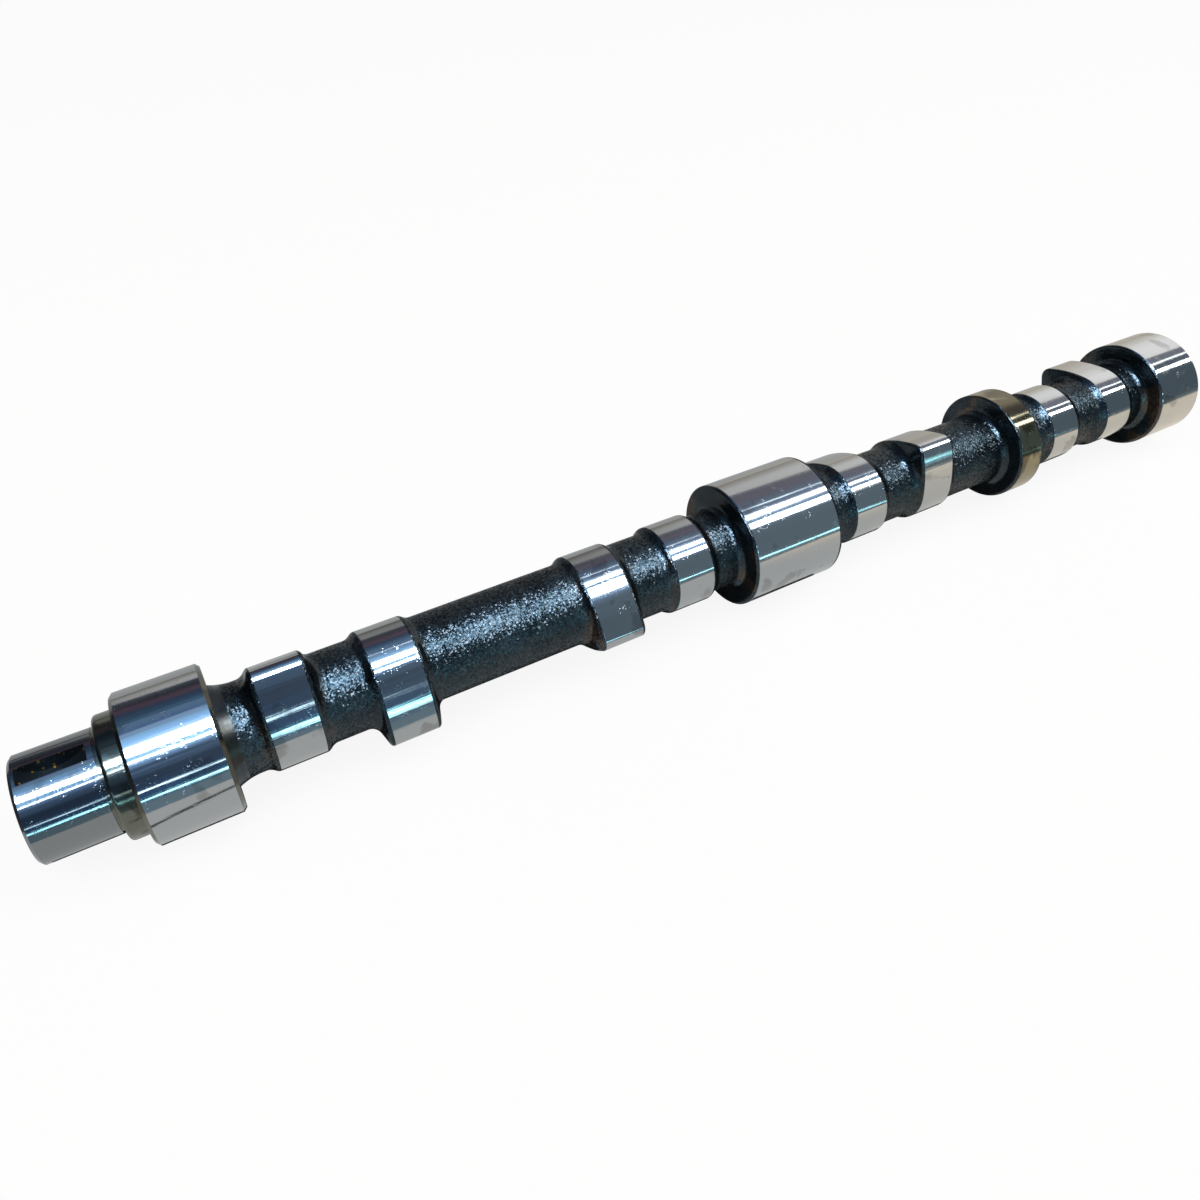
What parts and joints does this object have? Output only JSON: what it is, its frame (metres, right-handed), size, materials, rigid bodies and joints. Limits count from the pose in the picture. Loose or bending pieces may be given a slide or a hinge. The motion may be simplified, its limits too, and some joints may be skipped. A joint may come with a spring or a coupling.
{
  "type": "camshaft",
  "caption": "Cast and ground camshaft with cam lobes, a pump eccentric, plain bearing journals, a thrust collar and a keyed gear seat.",
  "frame": {"origin": "on the axis at the centre of the front bearing journal", "axes": "+X along the shaft from the gear end to the rear end, +Z the way the keyseat faces, +Y completes the right-hand frame"},
  "size_m": [0.5229, 0.0507, 0.0506],
  "materials": {
    "cast_iron": "oiled as-cast skin",
    "ground_iron": "fine ground"
  },
  "bodies": {
    "root": {"camshaft": "cast_iron"}
  },
  "joints": []
}
